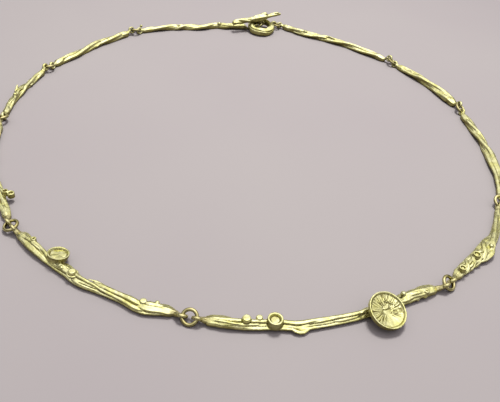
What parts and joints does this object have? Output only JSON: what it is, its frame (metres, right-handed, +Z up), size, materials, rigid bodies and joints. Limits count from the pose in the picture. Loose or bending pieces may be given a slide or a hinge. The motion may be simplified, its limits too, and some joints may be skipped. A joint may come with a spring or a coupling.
{
  "type": "gold necklace",
  "caption": "Closed necklace of cast gold bars with the look of twigs, joined by wire jump rings, with a dish cup, beads, a bezel and a ribbed medallion, and a toggle clasp.",
  "frame": {"origin": "middle of the closed loop, on the surface that the necklace lies on", "axes": "+Z up, away from the surface; +Y from the front bars towards the clasp at the back; +X to the right, seen from the front"},
  "size_m": [0.1456, 0.1502, 0.0065],
  "materials": {
    "cast_gold": "cast, lightly polished",
    "wire_gold": "polished wire"
  },
  "bodies": {
    "root": {"bar_1": "cast_gold", "bar_2": "cast_gold", "bar_3": "cast_gold", "bar_4": "cast_gold", "bar_5": "cast_gold", "bar_6": "cast_gold", "bar_7": "cast_gold", "bar_8": "cast_gold", "bar_9": "cast_gold", "bar_10": "cast_gold", "jump_ring_1": "wire_gold", "jump_ring_2": "wire_gold", "jump_ring_3": "wire_gold", "jump_ring_4": "wire_gold", "jump_ring_5": "wire_gold", "jump_ring_6": "wire_gold", "jump_ring_7": "wire_gold", "jump_ring_8": "wire_gold", "jump_ring_9": "wire_gold", "clasp_ring_1": "wire_gold", "clasp_ring_2": "wire_gold", "toggle_ring": "cast_gold", "toggle_bar": "cast_gold"}
  },
  "joints": []
}
